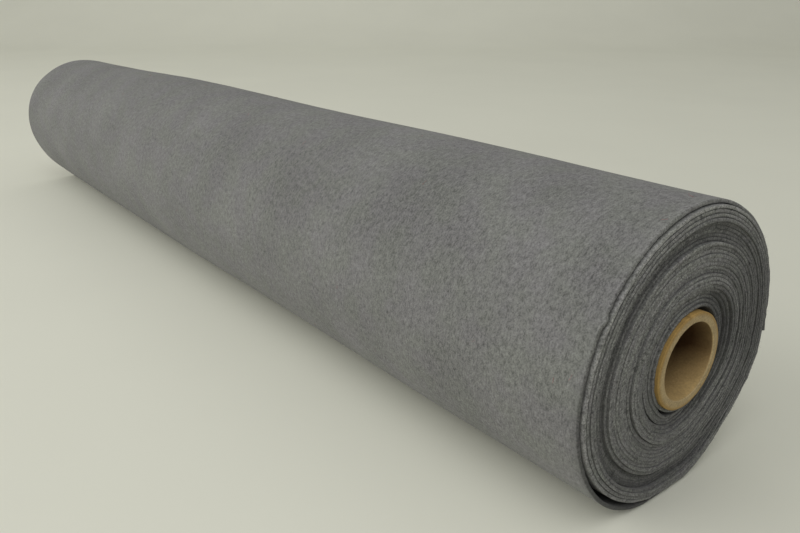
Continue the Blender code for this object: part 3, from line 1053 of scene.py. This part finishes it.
bore_skin = paint.between(paint.sum_of(depth, height), BORE_LIGHT, BORE_DARK)
skin = paint.between(paint.mark("bore"), SKIN_COLOUR, bore_skin)
skin = paint.times(skin, seam)
streaks = paint.put("ShaderNodeVectorMath", {0: place, 1: STREAK_STRETCH}, operation="MULTIPLY")
streaks = paint.noise(streaks, 1.0, detail=2.0, dimensions="3D")
streaks = paint.ramp(streaks, 0.3, 0.7, 0.85, 1.15)
colour = paint.between(paint.mark("rim"), skin, paint.times(SAWN_COLOUR, streaks))
shade = paint.ramp(grain, 0.3, 0.7, -0.14, 0.14)
shade = paint.sum_of(shade, paint.ramp(cloud, 0.3, 0.7, 0.92, 1.08))
shade = paint.product(shade, paint.ramp(paint.mark("groove"), -1.0, 1.0, 1.32, 0.74))
paint.join(paint.shader, "Base Color", paint.times(colour, shade))
bump = paint.put("ShaderNodeBump", {"Strength": 0.35, "Distance": 0.0003, "Height": grain})
paint.join(paint.shader, "Normal", bump)
paint.finish(tube_mesh, 0.75, 0.3)

# %% [markdown]
# ## What the pieces stand for
#
# The cloth and its loose fibres take the place of the felt solid, and the tube that of its own.
# Nothing on a roll moves by itself, so all three ride on the one body. The cloth is a sheet a
# metre wide and ten metres long, held wound on its tube.

# %% Pieces of the object
for piece in (felt, fibres, tube):
    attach(piece, "root")
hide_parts("felt_roll")
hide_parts("core_tube")

# %% [markdown]
# ## The studio
#
# The picture was taken on a wide pale sheet that sweeps up behind the roll. The light is soft
# and comes from everywhere. A large light lights the long side, one above the near end lights the
# floor beside it, and a weak one lights the backdrop. The end of the roll faces away from the
# largest light, so it is in half shade.

# %% Floor and backdrop
CAMERA_YAW = 0.8961
CAMERA_PITCH = 0.3642
SWEEP_START = 2.6
SWEEP_RADIUS = 1.6
WALL_TOP = 2.5
FLOOR_DROP = 0.0002
FLOOR_COLOUR = (0.745, 0.748, 0.648)

look_flat = np.array([-math.sin(CAMERA_YAW), math.cos(CAMERA_YAW)])
side_flat = np.array([math.cos(CAMERA_YAW), math.sin(CAMERA_YAW)])
bend_angle = np.linspace(0.0, 0.5 * np.pi, 33)
sweep_along = np.concatenate([
    np.linspace(-4.0, SWEEP_START, 12)[:-1],
    SWEEP_START + SWEEP_RADIUS * np.sin(bend_angle),
    [SWEEP_START + SWEEP_RADIUS],
])
sweep_up = np.concatenate([
    np.zeros(11), SWEEP_RADIUS * (1.0 - np.cos(bend_angle)), [SWEEP_RADIUS + WALL_TOP]
])
sweep_side = np.linspace(-6.0, 6.0, 13)
floor_xy = sweep_along[:, None, None] * look_flat + sweep_side[None, :, None] * side_flat
floor_z = np.repeat(sweep_up[:, None, None], len(sweep_side), axis=1) - FLOOR_DROP
floor_points = np.concatenate([floor_xy, floor_z], axis=2)
floor_index = np.arange(len(sweep_along) * len(sweep_side)).reshape(len(sweep_along), -1)
floor_faces = np.stack([
    floor_index[:-1, :-1], floor_index[:-1, 1:], floor_index[1:, 1:], floor_index[1:, :-1]
], axis=2).reshape(-1, 4)
floor_mesh = smooth_mesh("floor", floor_points.reshape(-1, 3).tolist(), floor_faces.tolist())
floor = add_object("floor", floor_mesh)

paint = Paint("pale floor")
place = paint.put("ShaderNodeTexCoord", {}, output=3)
uneven_floor = paint.noise(place, 3.0, detail=3.0, dimensions="3D")
uneven_floor = paint.ramp(uneven_floor, 0.3, 0.7, 0.985, 1.015)
paint.join(paint.shader, "Base Color", paint.times(FLOOR_COLOUR, uneven_floor))
paint.finish(floor_mesh, 0.55, 0.2)

# %% Lights
SKY_COLOUR = (1.0, 0.995, 0.98, 1.0)
SKY_STRENGTH = 0.42
WHITE = (1.0, 1.0, 1.0)
WARM_WHITE = (1.0, 0.99, 0.97)


def area_light(name, place, aim, size, power, colour):
    """A square soft light at a place, turned to face the point that it is aimed at."""
    light = bpy.data.lights.new(name, "AREA")
    light.shape = "SQUARE"
    light.size = size
    light.energy = power
    light.color = colour
    lamp = add_object(name, light)
    lamp.location = place
    direction = np.array(aim, float) - np.array(place, float)
    flat = math.hypot(direction[0], direction[1])
    lamp.rotation_euler = (
        math.atan2(flat, -direction[2]), 0.0, math.atan2(direction[1], direction[0]) - 0.5 * math.pi
    )


area_light("soft light", (-1.2, -2.9, 1.6), (-0.1, 0.0, 0.1), 3.0, 66.0, WARM_WHITE)
area_light("light from above", (1.5, -1.1, 2.6), (0.8, -0.5, 0.0), 2.0, 24.0, WHITE)
area_light("light on the backdrop", (-2.1, 1.7, 2.6), (-2.4, 2.0, 0.0), 2.0, 6.0, WHITE)

world = bpy.data.worlds.new("studio")
world.use_nodes = True
sky = world.node_tree.nodes["Background"]
sky.inputs["Color"].default_value = SKY_COLOUR
sky.inputs["Strength"].default_value = SKY_STRENGTH
bpy.context.scene.world = world
bpy.context.scene.view_settings.view_transform = "Standard"

# %% [markdown]
# ## The camera
#
# The camera stands close to the near end, above the roll, and looks down along its long side.
# Its place is counted from the middle of the near end.

# %% Camera
LENS = 33.59
SENSOR = 36.0
CAMERA_PLACE = (0.18473, -0.34480, 0.19099)

camera_data = bpy.data.cameras.new("camera")
camera_data.lens = LENS
camera_data.sensor_width = SENSOR
camera_data.sensor_fit = "HORIZONTAL"
camera_data.clip_start = 0.02
camera_data.clip_end = 50.0
camera = add_object("camera", camera_data)
end_middle = np.array([near_edge, tube_y, AXIS_HEIGHT])
camera.location = (end_middle + CAMERA_PLACE).tolist()
camera.rotation_euler = (0.5 * math.pi - CAMERA_PITCH, 0.0, CAMERA_YAW)
bpy.context.scene.camera = camera
print("camera at", np.round(end_middle + CAMERA_PLACE, 3).tolist())
